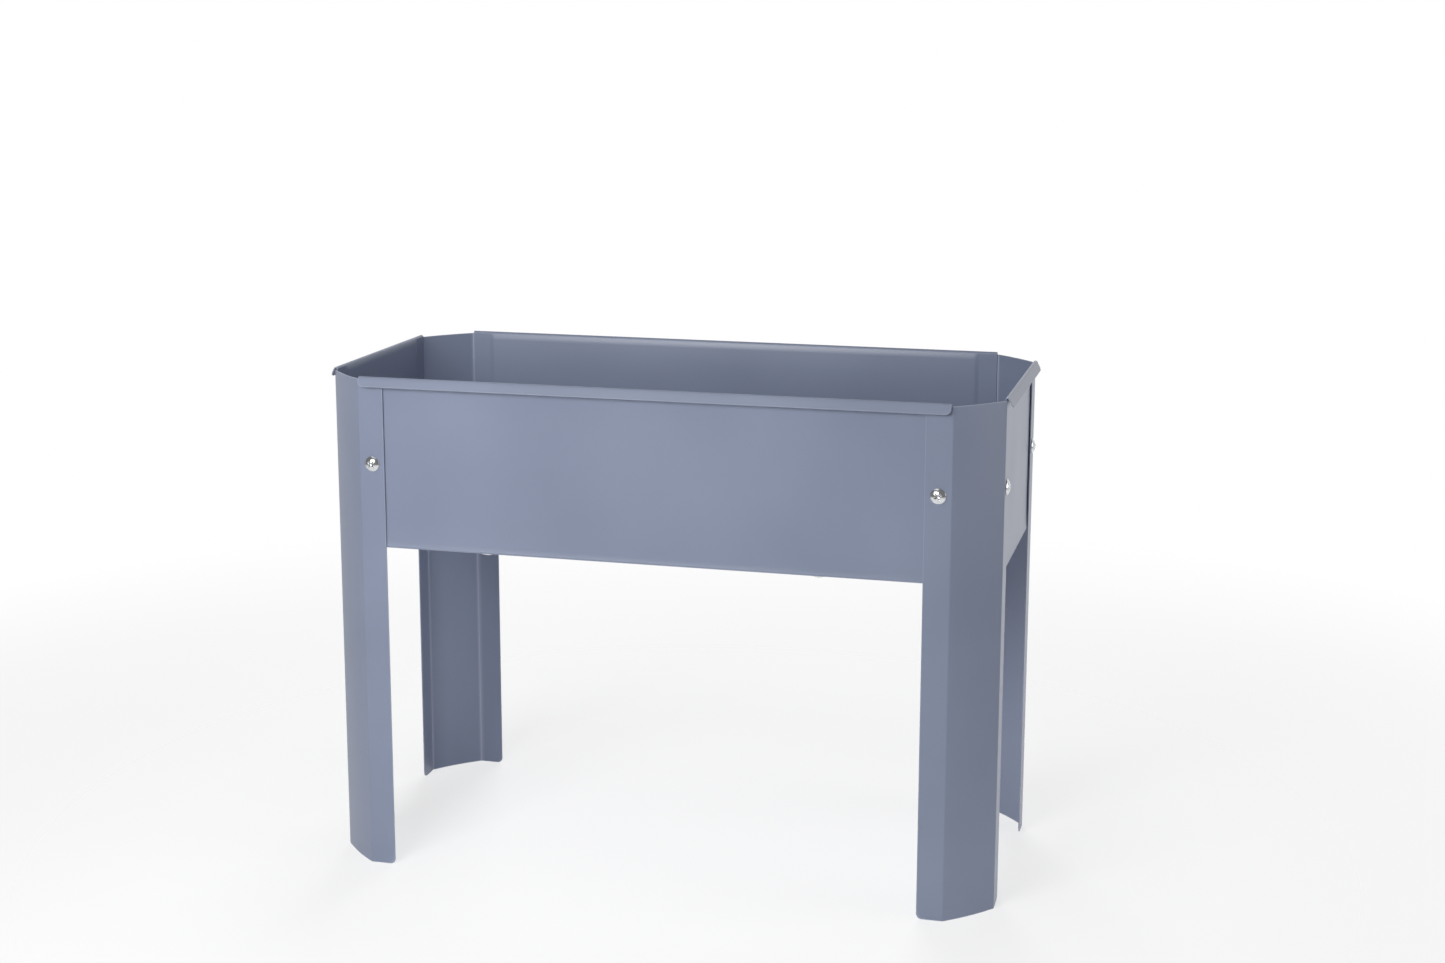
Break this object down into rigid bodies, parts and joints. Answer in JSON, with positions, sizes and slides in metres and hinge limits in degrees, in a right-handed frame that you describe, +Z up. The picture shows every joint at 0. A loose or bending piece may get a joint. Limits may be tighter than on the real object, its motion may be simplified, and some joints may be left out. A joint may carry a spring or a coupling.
{
  "type": "raised planter on legs",
  "caption": "Open rectangular planter with bevelled corners, a folded rim and sheet steel corner legs, bolted together from bent panels.",
  "frame": {"origin": "on the ground, below the middle of the trough", "axes": "+Z up, +X along the long front from left to right as seen from the front, +Y from the front towards the back"},
  "size_m": [0.617, 0.295, 0.4523],
  "materials": {
    "coated_steel": "satin slate blue powder coat with a fine orange peel",
    "zinc_steel": "bright zinc plate"
  },
  "bodies": {
    "root": {"bolt_back_left": "zinc_steel", "bolt_back_right": "zinc_steel", "bolt_front_left": "zinc_steel", "bolt_front_right": "zinc_steel", "bolt_left_back": "zinc_steel", "bolt_left_front": "zinc_steel", "bolt_right_back": "zinc_steel", "bolt_right_front": "zinc_steel", "floor_bolt_back_left": "zinc_steel", "floor_bolt_back_right": "zinc_steel", "floor_bolt_front_left": "zinc_steel", "floor_bolt_front_right": "zinc_steel", "floor_nut_back_left": "zinc_steel", "floor_nut_back_right": "zinc_steel", "floor_nut_front_left": "zinc_steel", "floor_nut_front_right": "zinc_steel", "floor_sheet": "coated_steel", "leg_back_left": "coated_steel", "leg_back_right": "coated_steel", "leg_front_left": "coated_steel", "leg_front_right": "coated_steel", "nut_back_left": "zinc_steel", "nut_back_right": "zinc_steel", "nut_front_left": "zinc_steel", "nut_front_right": "zinc_steel", "nut_left_back": "zinc_steel", "nut_left_front": "zinc_steel", "nut_right_back": "zinc_steel", "nut_right_front": "zinc_steel", "panel_back": "coated_steel", "panel_front": "coated_steel", "panel_left": "coated_steel", "panel_right": "coated_steel"}
  },
  "joints": []
}
